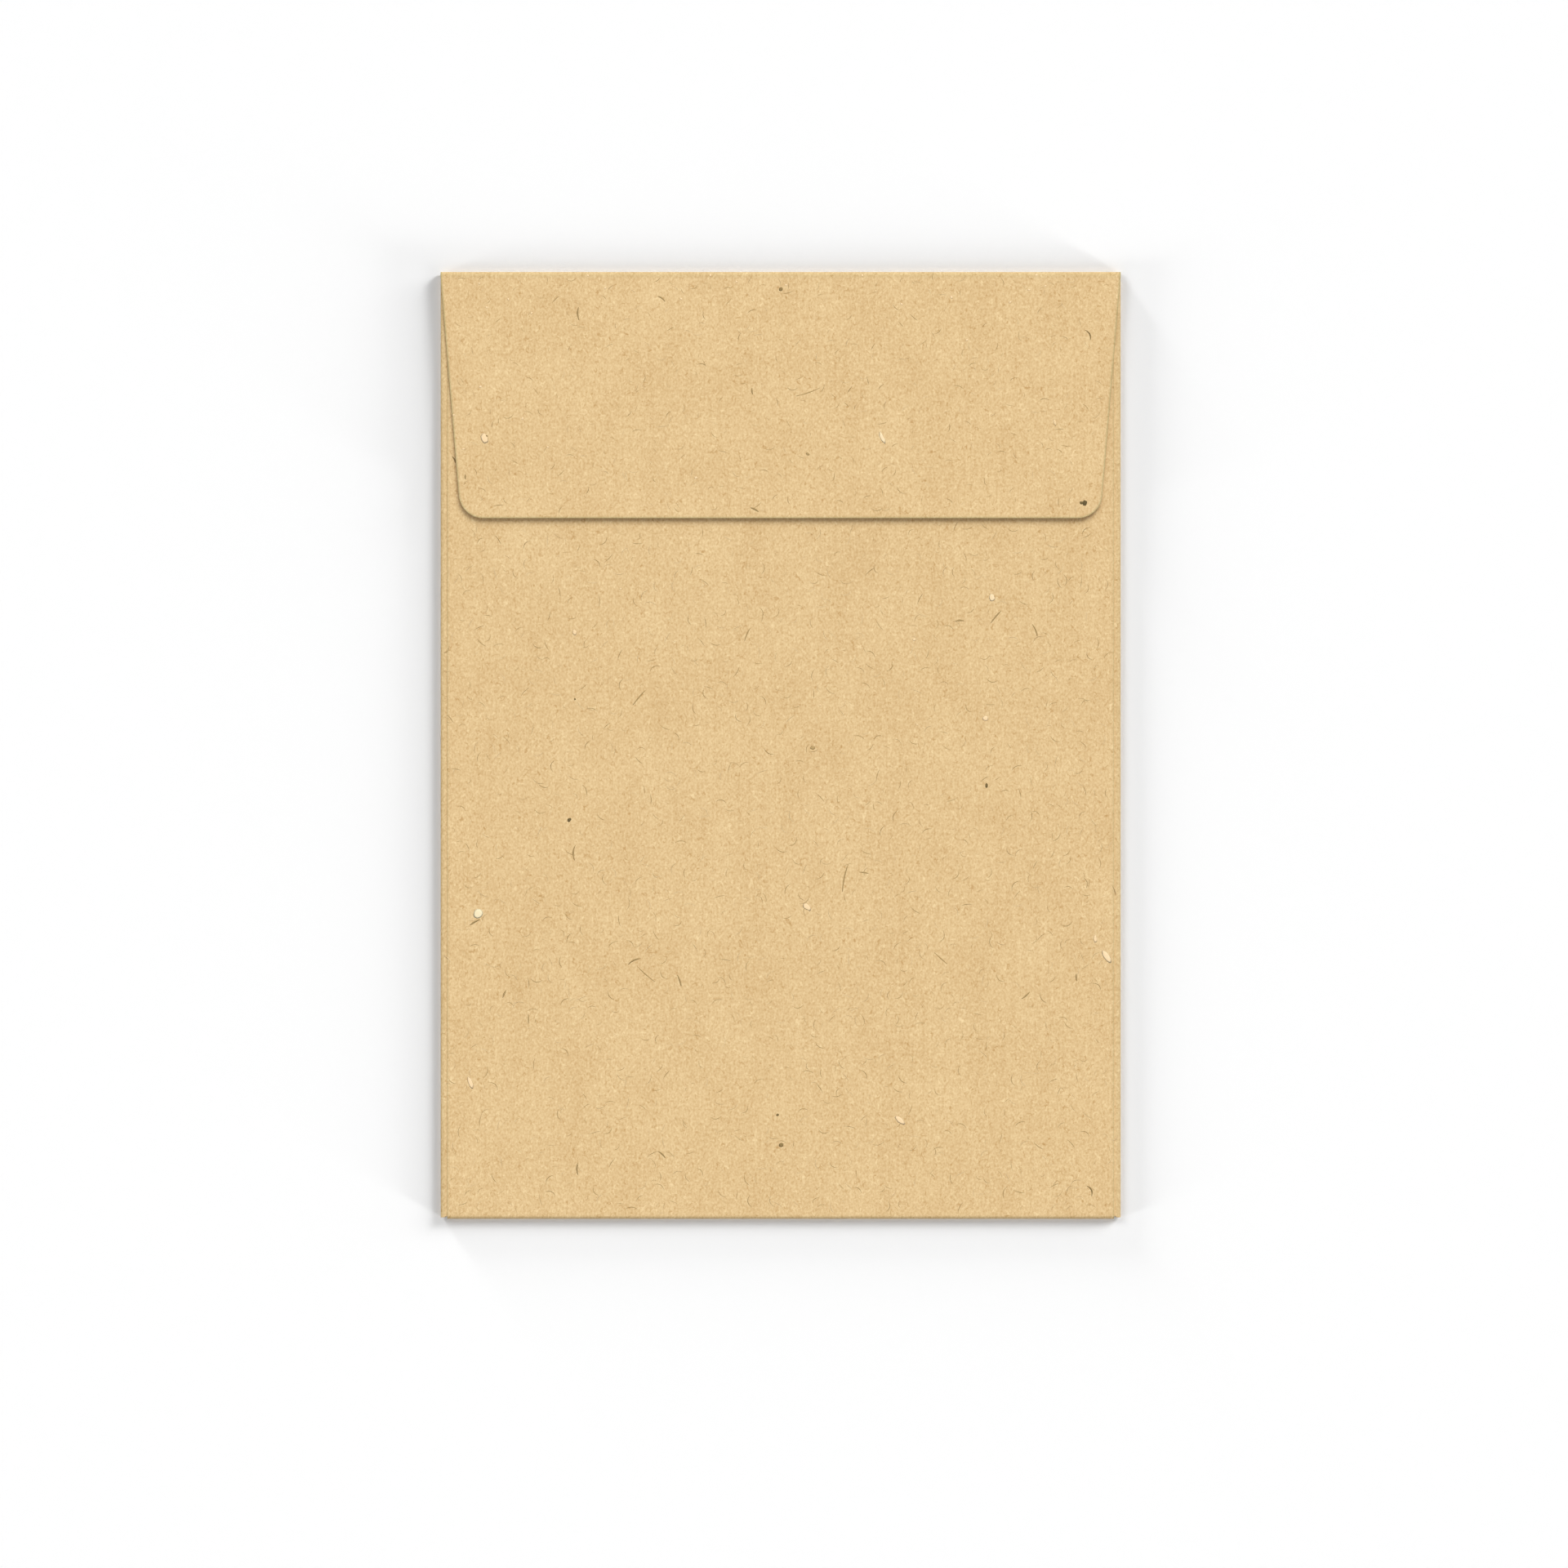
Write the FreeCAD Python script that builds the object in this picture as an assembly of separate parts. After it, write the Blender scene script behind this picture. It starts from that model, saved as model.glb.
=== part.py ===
import FreeCAD, Part
import math
import os

# Paper envelope: one die-cut sheet of kraft paper, folded and glued at its side seams.
# It lies on its front, with the back and its closed seal flap up. The origin is under the
# middle of the front, +Y points to the top fold and +Z up. All sizes are in millimetres.

# The sheet
paper_thickness = 0.15  # 120 g/m2 kraft

# The closed envelope, over its folds
envelope_width = 133.0
envelope_height = 185.2

# The pocket: front, side flaps folded in, back panel glued over them
pocket_gap = 0.90  # clear height between the front and the side flaps
side_flap_width = 15.0
side_flap_end_angle = 25.0  # degrees that each end slopes away from square
back_panel_inset = 1.28  # how far its cut edges stop short of the side folds
throat_drop = 15.0  # from the top fold down to the pocket's mouth

# The seal flap
seal_flap_depth = 48.2
seal_flap_taper = 4.0  # how far each slanted side has come in at the free edge
seal_flap_corner_radius = 4.8
seal_flap_gap = 0.08  # clear height over the back panel at the top fold
seal_flap_spring = 0.95  # degrees that the fold has sprung open

# The die cuts in the corners, where one fold ends and the next begins
shoulder_height = 1.6  # from the top fold down to the side folds' upper ends
corner_step = 0.30  # from the bottom fold up to the side folds' lower ends
cut_width = 0.20

# Heights of the layers, from the front up
side_flap_top = 2 * paper_thickness + pocket_gap
back_panel_top = side_flap_top + paper_thickness
seal_flap_top = back_panel_top + seal_flap_gap + paper_thickness

# Each fold turns from the front up to its own layer, so the layer's height sets its radius
side_fold_radius = side_flap_top / 2
bottom_fold_radius = back_panel_top / 2
top_fold_radius = seal_flap_top / 2

# Where the flat front ends and the folds begin
half_width = envelope_width / 2
half_height = envelope_height / 2
front_side = half_width - side_fold_radius
front_bottom = -half_height + bottom_fold_radius
front_top = half_height - top_fold_radius
side_fold_top = half_height - shoulder_height
side_fold_bottom = -half_height + corner_step
half_back_panel = half_width - back_panel_inset

# Trimming shapes reach this far past the paper
overcut = 2.0

across = FreeCAD.Vector(1, 0, 0)
upward = FreeCAD.Vector(0, 1, 0)
away = FreeCAD.Vector(0, 0, 1)


def folded_panel(start, outward, fold_line, radius, turn, reach):
    """A fold and the panel beyond it: the sheet leaves start along outward, turns up and
    over by turn (radians) and runs straight for reach. fold_line runs along the fold."""

    def on_arc(arc_radius, angle):
        side = outward * (arc_radius * math.sin(angle))
        height = away * (radius - arc_radius * math.cos(angle))
        return start + side + height

    outer = [on_arc(radius, turn * share) for share in (0, 0.5, 1)]
    inner = [on_arc(radius - paper_thickness, turn * share) for share in (1, 0.5, 0)]
    run = (outward * math.cos(turn) + away * math.sin(turn)) * reach
    section = Part.Wire(
        [
            Part.Arc(*outer).toShape(),
            Part.makeLine(outer[2], outer[2] + run),
            Part.makeLine(outer[2] + run, inner[0] + run),
            Part.makeLine(inner[0] + run, inner[0]),
            Part.Arc(*inner).toShape(),
            Part.makeLine(inner[2], outer[0]),
        ]
    )
    return Part.Face(section).extrude(fold_line)


def rounded_corner(before, corner, after, radius):
    """Start, middle and end of the arc that rounds a corner between its neighbours."""
    to_before = (before - corner).normalize()
    to_after = (after - corner).normalize()
    half_angle = to_before.getAngle(to_after) / 2
    tangent = radius / math.tan(half_angle)
    bulge = radius / math.sin(half_angle) - radius
    middle = corner + (to_before + to_after).normalize() * bulge
    return corner + to_before * tangent, middle, corner + to_after * tangent


def plan_prism(corners):
    """An upright block over a plan outline. Each corner is (x, y, radius), the last one sharp."""
    points = [FreeCAD.Vector(x, y, -overcut) for x, y, _ in corners]
    edges = []
    reached = points[-1]
    for index, (_, _, radius) in enumerate(corners):
        corner = points[index]
        if radius == 0:
            edges.append(Part.makeLine(reached, corner))
            reached = corner
            continue
        arc_start, middle, arc_end = rounded_corner(points[index - 1], corner, points[index + 1], radius)
        edges.append(Part.makeLine(reached, arc_start))
        edges.append(Part.Arc(arc_start, middle, arc_end).toShape())
        reached = arc_end
    return Part.Face(Part.Wire(edges)).extrude(away * (seal_flap_top + 3 * overcut))


def flat_sheet(left, right, bottom, top):
    """A flat rectangle of the sheet at the front's level."""
    corner = FreeCAD.Vector(left, bottom, 0)
    return Part.makeBox(right - left, top - bottom, paper_thickness, corner)


def front_panel():
    """The flat address side, with a full-width band under the top fold and square corners
    beside the bottom fold."""
    band = flat_sheet(-half_width, half_width, side_fold_top + cut_width, front_top)
    corner_inner = half_back_panel + cut_width
    right_corner = flat_sheet(corner_inner, front_side, side_fold_bottom, front_bottom)
    left_corner = flat_sheet(-front_side, -corner_inner, side_fold_bottom, front_bottom)
    panel = flat_sheet(-front_side, front_side, front_bottom, front_top)
    return panel.multiFuse([band, right_corner, left_corner])


def side_flap():
    """The right side flap, folded in over the front, with both ends sloped."""
    flap = folded_panel(
        FreeCAD.Vector(front_side, side_fold_bottom, 0),
        across,
        upward * (side_fold_top - side_fold_bottom),
        side_fold_radius,
        math.pi,
        side_flap_width - side_fold_radius,
    )
    inner_edge = half_width - side_flap_width
    end_slope = math.tan(math.radians(side_flap_end_angle))
    outline = [
        (half_width + overcut, side_fold_bottom, 0),
        (half_width + overcut, side_fold_top, 0),
        (front_side, side_fold_top, 0),
        (inner_edge, side_fold_top - (front_side - inner_edge) * end_slope, 0),
        (inner_edge, front_bottom + (half_back_panel - inner_edge) * end_slope, 0),
        (half_back_panel, front_bottom, 0),
        (front_side, side_fold_bottom, 0),
    ]
    return flap.common(plan_prism(outline))


def back_panel():
    """The bottom fold and the back panel, up to the straight throat under the seal flap."""
    throat = half_height - throat_drop
    return folded_panel(
        FreeCAD.Vector(-half_back_panel, front_bottom, 0),
        -upward,
        across * (2 * half_back_panel),
        bottom_fold_radius,
        math.pi,
        throat - front_bottom,
    )


def seal_flap():
    """The top fold and the seal flap, slightly sprung, with slanted sides and round corners."""
    flap = folded_panel(
        FreeCAD.Vector(-half_width - overcut, front_top, 0),
        upward,
        across * (envelope_width + 2 * overcut),
        top_fold_radius,
        math.pi - math.radians(seal_flap_spring),
        seal_flap_depth + overcut,
    )
    free_edge = half_height - seal_flap_depth
    free_half = half_width - seal_flap_taper
    outline = [
        (half_width, half_height + overcut, 0),
        (-half_width, half_height + overcut, 0),
        (-half_width, front_top, 0),
        (-free_half, free_edge, seal_flap_corner_radius),
        (free_half, free_edge, seal_flap_corner_radius),
        (half_width, front_top, 0),
    ]
    return flap.common(plan_prism(outline))


def envelope():
    """The whole folded sheet, with the back panel glued face to face on the side flaps."""
    right_flap = side_flap()
    left_flap = right_flap.mirror(FreeCAD.Vector(0, 0, 0), across)
    panels = [right_flap, left_flap, back_panel(), seal_flap()]
    return front_panel().multiFuse(panels).removeSplitter()


os.makedirs("parts", exist_ok=True)
sheet = envelope()
sheet.exportStep("parts/envelope.step")
print("envelope:", len(sheet.Solids), "solid, valid", sheet.isValid(), "volume", round(sheet.Volume, 1))
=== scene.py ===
import bmesh
import bpy
import math
import random
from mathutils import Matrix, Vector


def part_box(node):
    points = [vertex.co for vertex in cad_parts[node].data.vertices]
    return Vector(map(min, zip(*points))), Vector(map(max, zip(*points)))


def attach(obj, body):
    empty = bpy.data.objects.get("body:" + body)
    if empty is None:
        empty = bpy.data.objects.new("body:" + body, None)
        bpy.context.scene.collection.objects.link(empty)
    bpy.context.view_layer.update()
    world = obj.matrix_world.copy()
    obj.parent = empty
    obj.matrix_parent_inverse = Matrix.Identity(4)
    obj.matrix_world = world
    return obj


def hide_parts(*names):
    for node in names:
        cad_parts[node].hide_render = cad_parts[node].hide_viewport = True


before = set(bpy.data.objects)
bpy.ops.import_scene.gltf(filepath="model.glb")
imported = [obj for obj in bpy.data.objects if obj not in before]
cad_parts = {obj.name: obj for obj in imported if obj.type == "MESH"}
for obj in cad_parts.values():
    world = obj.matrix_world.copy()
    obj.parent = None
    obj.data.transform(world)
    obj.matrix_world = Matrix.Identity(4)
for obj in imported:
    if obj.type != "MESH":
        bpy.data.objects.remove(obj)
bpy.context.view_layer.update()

mm = 0.001
lowCorner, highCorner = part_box("envelope")
frameSize = [round((high - low) / mm, 2) for low, high in zip(lowCorner, highCorner)]
print("envelope in the frame, mm:", frameSize)

# Sheet sizes, the same as in the part's source, and a film of glue that only the look needs
sheet = {
    "thickness": 0.15 * mm,
    "halfWidth": (highCorner[0] - lowCorner[0]) / 2,
    "halfHeight": (highCorner[1] - lowCorner[1]) / 2,
    "pocketGap": 0.90 * mm,
    "sideFlapWidth": 15.0 * mm,
    "sideFlapEndSlope": math.tan(math.radians(25)),
    "backPanelInset": 1.28 * mm,
    "throatDrop": 15.0 * mm,
    "sealFlapDepth": 48.2 * mm,
    "sealFlapTaper": 4.0 * mm,
    "sealFlapCorner": 4.8 * mm,
    "sealFlapGap": 0.08 * mm,
    "sealFlapSpring": math.radians(0.95),
    "shoulder": 1.6 * mm,
    "cornerStep": 0.30 * mm,
    "cut": 0.20 * mm,
    "glueFilm": 0.01 * mm,  # keeps the glued faces from sharing one plane
}


# Helpers for node trees

def addNode(tree, kind, **settings):
    node = tree.nodes.new(kind)
    for name, value in settings.items():
        setattr(node, name, value)
    return node


def feed(tree, socket, value):
    if isinstance(value, bpy.types.NodeSocket):
        tree.links.new(value, socket)
    else:
        socket.default_value = value


def feedAll(tree, node, values):
    for name, value in values.items():
        feed(tree, node.inputs[name], value)


def splitVector(tree, vector):
    node = addNode(tree, "ShaderNodeSeparateXYZ")
    feed(tree, node.inputs[0], vector)
    return node.outputs


def calc(tree, operation, *values):
    node = addNode(tree, "ShaderNodeMath", operation=operation)
    for socket, value in zip(node.inputs, values):
        feed(tree, socket, value)
    return node.outputs[0]


def vectorCalc(tree, operation, first, second):
    node = addNode(tree, "ShaderNodeVectorMath", operation=operation)
    feed(tree, node.inputs[0], first)
    if operation == "SCALE":
        feed(tree, node.inputs["Scale"], second)
    else:
        feed(tree, node.inputs[1], second)
    return node.outputs["Value"] if operation == "DOT_PRODUCT" else node.outputs["Vector"]


def newInput(tree, name, kind):
    tree.interface.new_socket(name, in_out="INPUT", socket_type=kind)


def startTree(name):
    tree = bpy.data.node_groups.new(name, "GeometryNodeTree")
    newInput(tree, "Geometry", "NodeSocketGeometry")
    tree.interface.new_socket("Geometry", in_out="OUTPUT", socket_type="NodeSocketGeometry")
    return tree, tree.nodes.new("NodeGroupInput"), tree.nodes.new("NodeGroupOutput")


def setModifierInputs(modifier, values):
    for item in modifier.node_group.interface.items_tree:
        if item.item_type == "SOCKET" and item.in_out == "INPUT" and item.name in values:
            modifier[item.identifier] = values[item.name]


# Camera: straight down with a long lens, as the photograph has it
cameraSizes = {
    "lens": 200.0,
    "sensor": 36.0,
    "frameWidth": 306.6 * mm,
    "centre": (0.66 * mm, -7.55 * mm),
    "focusHeight": 1.35 * mm,
}


def makeCamera():
    data = bpy.data.cameras.new("camera")
    data.lens = cameraSizes["lens"]
    data.sensor_width = cameraSizes["sensor"]
    camera = bpy.data.objects.new("camera", data)
    distance = cameraSizes["frameWidth"] * cameraSizes["lens"] / cameraSizes["sensor"]
    x, y = cameraSizes["centre"]
    camera.location = (x, y, cameraSizes["focusHeight"] + distance)
    bpy.context.scene.collection.objects.link(camera)
    bpy.context.scene.camera = camera


# Light. Some lamps reach only the sheet and some only the floor, as with flags and cards in a studio.
# On each the shares add up to 1, at which a colour that faces up renders as it is written.
roomShare = 0.15
sheetLamps = {
    "softTop": {"share": 0.35, "azimuth": 90, "elevation": 90, "spread": 170},
    "keyLamp": {"share": 0.50, "azimuth": 74, "elevation": 46, "spread": 38},
}
floorLamps = {
    "floorBackRight": {"share": 0.185, "azimuth": 40, "elevation": 18, "spread": 18},
    "floorBackRightHigh": {"share": 0.110, "azimuth": 38, "elevation": 24, "spread": 22},
    "floorBackLeft": {"share": 0.165, "azimuth": 140, "elevation": 32, "spread": 24},
    "floorFrontRight": {"share": 0.060, "azimuth": 320, "elevation": 22, "spread": 20},
    "floorFrontLeft": {"share": 0.030, "azimuth": 240, "elevation": 28, "spread": 24},
    "lowFrontRight": {"share": 0.090, "azimuth": 330, "elevation": 5, "spread": 9},
    "lowLeft": {"share": 0.080, "azimuth": 200, "elevation": 7, "spread": 12},
    "lowBackLeft": {"share": 0.075, "azimuth": 125, "elevation": 5, "spread": 9},
    "lowBackRight": {"share": 0.055, "azimuth": 22, "elevation": 8, "spread": 14},
}


def makeLamp(name, share, azimuth, elevation, spread, lit):
    rise = math.sin(math.radians(elevation))
    data = bpy.data.lights.new(name, "SUN")
    data.energy = math.pi * share / rise
    data.angle = math.radians(spread)
    lamp = bpy.data.objects.new(name, data)
    flat = math.cos(math.radians(elevation))
    towards = Vector((flat * math.cos(math.radians(azimuth)), flat * math.sin(math.radians(azimuth)), rise))
    lamp.rotation_euler = towards.to_track_quat("Z", "Y").to_euler()
    lamp.light_linking.receiver_collection = lit
    bpy.context.scene.collection.objects.link(lamp)


def makeRoom():
    world = bpy.data.worlds.new("room")
    world.use_nodes = True
    tree = world.node_tree
    tree.nodes.clear()
    light = addNode(tree, "ShaderNodeBackground")
    feedAll(tree, light, {"Color": (1, 1, 1, 1), "Strength": roomShare})
    white = addNode(tree, "ShaderNodeBackground")
    feedAll(tree, white, {"Color": (1, 1, 1, 1), "Strength": 1.0})
    paths = addNode(tree, "ShaderNodeLightPath")
    pick = addNode(tree, "ShaderNodeMixShader")
    feed(tree, pick.inputs[0], paths.outputs["Is Camera Ray"])
    feed(tree, pick.inputs[1], light.outputs[0])
    feed(tree, pick.inputs[2], white.outputs[0])
    output = addNode(tree, "ShaderNodeOutputWorld")
    feed(tree, output.inputs["Surface"], pick.outputs[0])
    bpy.context.scene.world = world


# Floor: fully white to the camera and in reflections. It bounces less light than that, so that
# the shadow keeps its depth.
floorSizes = {"half": 3.0, "drop": 0.02 * mm, "seen": 1.0, "bounce": 0.80}


def makeFloor():
    half = floorSizes["half"]
    level = -floorSizes["drop"]
    mesh = bpy.data.meshes.new("floor")
    corners = [(-half, -half, level), (half, -half, level), (half, half, level), (-half, half, level)]
    mesh.from_pydata(corners, [], [(0, 1, 2, 3)])
    floor = bpy.data.objects.new("floor", mesh)
    bpy.context.scene.collection.objects.link(floor)
    material = bpy.data.materials.new("whiteFloor")
    material.use_nodes = True
    tree = material.node_tree
    tree.nodes.clear()
    paths = addNode(tree, "ShaderNodeLightPath")
    shown = calc(tree, "MAXIMUM", paths.outputs["Is Camera Ray"], paths.outputs["Is Glossy Ray"])
    tone = addNode(tree, "ShaderNodeMapRange")
    feedAll(tree, tone, {"Value": shown, "To Min": floorSizes["bounce"], "To Max": floorSizes["seen"]})
    matt = addNode(tree, "ShaderNodeBsdfDiffuse")
    feed(tree, matt.inputs["Color"], tone.outputs["Result"])
    output = addNode(tree, "ShaderNodeOutputMaterial")
    feed(tree, output.inputs["Surface"], matt.outputs[0])
    mesh.materials.append(material)
    return floor


bpy.context.scene.view_settings.view_transform = "Standard"
makeCamera()


# The folded sheet. The flat blank is a mesh on its panels' lines, and a node tree folds it up.
frontPanel, rightFlap, leftFlap, backPanel, sealFlap = range(5)

# Levels of the panels' outer faces when folded, from the front up
levels = {}
levels["sideFlap"] = 2 * sheet["thickness"] + sheet["pocketGap"]
levels["backPanel"] = levels["sideFlap"] + sheet["thickness"] + sheet["glueFilm"]
levels["sealFlap"] = levels["backPanel"] + sheet["sealFlapGap"] + sheet["thickness"]

# Where the front ends and each fold begins
folds = {
    "side": sheet["halfWidth"] - levels["sideFlap"] / 2,
    "bottom": sheet["halfHeight"] - levels["backPanel"] / 2,
    "top": sheet["halfHeight"] - levels["sealFlap"] / 2,
}
sideFoldTop = sheet["halfHeight"] - sheet["shoulder"]
sideFoldBottom = -sheet["halfHeight"] + sheet["cornerStep"]
halfBackPanel = sheet["halfWidth"] - sheet["backPanelInset"]
sealTurn = math.pi - sheet["sealFlapSpring"]


def arcLength(level, turn):
    return (level - sheet["thickness"]) / 2 * turn


# Lengths of the panels along the flat sheet
sideArc = arcLength(levels["sideFlap"], math.pi)
backArc = arcLength(levels["backPanel"], math.pi)
sealArc = arcLength(levels["sealFlap"], sealTurn)
sideReach = folds["side"] + sideArc + sheet["sideFlapWidth"] - levels["sideFlap"] / 2
throat = sheet["halfHeight"] - sheet["throatDrop"]
backReach = folds["bottom"] + backArc + throat + folds["bottom"]
freeEdge = sheet["halfHeight"] - sheet["sealFlapDepth"]
sealReach = folds["top"] + sealArc + (folds["top"] - freeEdge) / math.cos(sheet["sealFlapSpring"])

blankGrid = {
    "cell": 3.0 * mm,
    "foldRows": 12,
    "cornerRows": 12,
    "edgeRows": [0.06 * mm, 0.15 * mm, 0.30 * mm, 0.55 * mm, 1.0 * mm],  # from each cut edge in
    "besideFold": [0.25 * mm, 0.7 * mm],  # on the flat, before and after each fold
    "evenEnd": 1.0 * mm,  # the even lines stop this far before a cut edge
    "cornerReach": 1.05,  # depth of the lines for a rounded corner, in radii
    "sameLine": 0.001 * mm,  # lines closer than this are one
}

# Painted shade put into the paper's colour: darker along the cut edges, standing in for the shade under the
# flap's edges and beside the glued panel's step, and darker on the folds' rounded outsides, standing in for
# shade there
paintedEdgeShade = {
    "cutWidth": 0.25 * mm,
    "backPanelCut": 0.55,  # the glued panel's cut edges show less than the flap's
    "creaseFade": 0.30 * mm,
    "topCrease": 1.0,
    "sideCrease": 0.75,
    "bottomCrease": 0.20,
}


def evenLines(start, end, cell):
    count = max(1, round(abs(end - start) / cell))
    return [start + (end - start) * step / count for step in range(count + 1)]


def mergeLines(lines):
    merged = []
    for line in sorted(lines):
        if not merged or line - merged[-1] > blankGrid["sameLine"]:
            merged.append(line)
    return merged


def besideFold(start, end):
    lines = []
    for row in blankGrid["besideFold"]:
        lines += [start - row, end + row]
    return lines


def acrossLines():
    cell = blankGrid["cell"]
    rows = blankGrid["foldRows"]
    half = evenLines(0, halfBackPanel - blankGrid["evenEnd"], cell)
    half += [halfBackPanel - row for row in blankGrid["edgeRows"]]
    half += [halfBackPanel, halfBackPanel + sheet["cut"], folds["side"], sheet["halfWidth"]]
    half += [folds["side"] + sideArc * step / rows for step in range(rows + 1)]
    half += besideFold(folds["side"], folds["side"] + sideArc)
    half += evenLines(folds["side"] + sideArc, sideReach - blankGrid["evenEnd"], cell)
    half += [sideReach - row for row in blankGrid["edgeRows"]] + [sideReach]
    return mergeLines(half + [-line for line in half])


def upLines():
    cell = blankGrid["cell"]
    rows = blankGrid["foldRows"]
    lines = evenLines(-folds["bottom"], sideFoldTop, cell) + [sideFoldBottom, sideFoldTop + sheet["cut"]]
    lines += [-folds["bottom"] - backArc * step / rows for step in range(rows + 1)]
    lines += [folds["top"] + sealArc * step / rows for step in range(rows + 1)]
    lines += besideFold(folds["top"], folds["top"] + sealArc)
    lines += [-line for line in besideFold(folds["bottom"], folds["bottom"] + backArc)]
    lines += evenLines(-folds["bottom"] - backArc, -backReach + blankGrid["evenEnd"], cell)
    lines += [-backReach + row for row in blankGrid["edgeRows"]] + [-backReach]
    cornerDepth = sheet["sealFlapCorner"] * blankGrid["cornerReach"]
    lines += evenLines(folds["top"] + sealArc, sealReach - cornerDepth, cell)
    for step in range(blankGrid["cornerRows"] + 1):
        turned = math.pi / 2 * step / blankGrid["cornerRows"]
        lines.append(sealReach - cornerDepth * (1 - math.sin(turned)))
    return mergeLines(lines)


def panelOf(across, up):
    # panel that a cell's middle lies on, or None off the sheet
    side = abs(across)
    if up > folds["top"]:
        return sealFlap if side < sheet["halfWidth"] else None
    if up > sideFoldTop + sheet["cut"]:
        return frontPanel if side < sheet["halfWidth"] else None
    if side > folds["side"]:
        if sideFoldBottom < up < sideFoldTop:
            return rightFlap if across > 0 else leftFlap
        return None
    if up > -folds["bottom"]:
        return frontPanel
    if side < halfBackPanel:
        return backPanel
    return frontPanel if side > halfBackPanel + sheet["cut"] and up > sideFoldBottom else None


def sealHalfWidth(up):
    # half the seal flap's width at a line of the flat sheet, with its corner rounded
    slope = sheet["sealFlapTaper"] / (folds["top"] - freeEdge)
    run = max(0.0, up - folds["top"] - sealArc)
    straight = sheet["halfWidth"] - slope * run
    radius = sheet["sealFlapCorner"]
    slant = math.atan(slope)
    fromEdge = sealReach - up
    rise = radius - fromEdge
    if rise <= radius * math.sin(slant):
        return straight
    atCentre = sheet["halfWidth"] - slope * (sealReach - radius - folds["top"] - sealArc)
    centre = atCentre - radius / math.cos(slant)
    return centre + math.sqrt(max(0.0, radius * radius - rise * rise))


def shapedPoint(across, up, panel):
    # place of a grid point on the flat sheet, once its panel's outline is cut
    if panel == sealFlap:
        return across * sealHalfWidth(up) / sheet["halfWidth"], up
    if panel in (rightFlap, leftFlap):
        run = max(0.0, abs(across) - folds["side"] - sideArc)
        share = (up - sideFoldBottom) / (sideFoldTop - sideFoldBottom)
        top = sideFoldTop - run * sheet["sideFlapEndSlope"]
        bottom = sideFoldBottom + run * sheet["sideFlapEndSlope"]
        return across, bottom + (top - bottom) * share
    return across, up


def cutEdgeShade(x, y, panel):
    # painted shade: 1 on a cut edge of an outer panel, fading inwards
    if panel == sealFlap:
        radius = sheet["sealFlapCorner"]
        side = sealHalfWidth(y) - abs(x)
        end = sealReach - y
        centre = sealHalfWidth(sealReach)
        if abs(x) > centre and end < radius:
            distance = radius - math.hypot(abs(x) - centre, radius - end)
        else:
            distance = min(side, end)
        amount = 1.0
    elif panel == backPanel:
        distance = min(halfBackPanel - abs(x), y + backReach)
        amount = paintedEdgeShade["backPanelCut"]
    else:
        return 0.0
    return amount * math.exp(-((max(0.0, distance) / paintedEdgeShade["cutWidth"]) ** 2))


def creaseShade(x, y, panel):
    # how much painted shade darkens a fold: its fold's amount within the fold, fading on the flat beside it
    besideSide = panel in (frontPanel, rightFlap, leftFlap)
    creaseShading = [
        (y - folds["top"], sealArc, paintedEdgeShade["topCrease"]),
        (abs(x) - folds["side"], sideArc, paintedEdgeShade["sideCrease"] if besideSide else 0.0),
        (-y - folds["bottom"], backArc, paintedEdgeShade["bottomCrease"]),
    ]
    amount = 0.0
    for along, arc, full in creaseShading:
        outside = max(-along, along - arc, 0.0)
        amount = max(amount, full * math.exp(-((outside / paintedEdgeShade["creaseFade"]) ** 2)))
    return amount


def makeBlank():
    columns = acrossLines()
    rows = upLines()
    points = {}
    spots = []
    panels = []
    faces = []
    for column in range(len(columns) - 1):
        for row in range(len(rows) - 1):
            middle = ((columns[column] + columns[column + 1]) / 2, (rows[row] + rows[row + 1]) / 2)
            panel = panelOf(*middle)
            if panel is None:
                continue
            face = []
            for corner in ((column, row), (column + 1, row), (column + 1, row + 1), (column, row + 1)):
                if corner not in points:
                    points[corner] = len(spots)
                    spots.append(corner)
                    panels.append(panel)
                index = points[corner]
                panels[index] = max(panels[index], panel)
                face.append(index)
            faces.append(face[::-1])  # the outer face looks down, to the table
    flat = []
    for panel, (column, row) in zip(panels, spots):
        flat.append(shapedPoint(columns[column], rows[row], panel))
    mesh = bpy.data.meshes.new("blank")
    mesh.from_pydata([(x, y, 0) for x, y in flat], [], faces)
    mesh.attributes.new("panel", "INT", "POINT").data.foreach_set("value", panels)
    plan = mesh.uv_layers.new(name="flatSheet")
    for loop in mesh.loops:
        x, y = flat[loop.vertex_index]
        plan.data[loop.index].uv = (x, y)
    # the second map carries the painted shade: cut edges in U, folds in V
    paintedShadeMap = mesh.uv_layers.new(name="paintedEdgeShade")
    amounts = [(cutEdgeShade(x, y, panel), creaseShade(x, y, panel)) for (x, y), panel in zip(flat, panels)]
    for loop in mesh.loops:
        paintedShadeMap.data[loop.index].uv = amounts[loop.vertex_index]
    blank = bpy.data.objects.new("envelope_sheet", mesh)
    bpy.context.scene.collection.objects.link(blank)
    wide = round(2 * sideReach / mm, 1)
    tall = round((sealReach + backReach) / mm, 1)
    print("flat sheet:", len(faces), "cells,", wide, "by", tall, "mm")
    return blank


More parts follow.
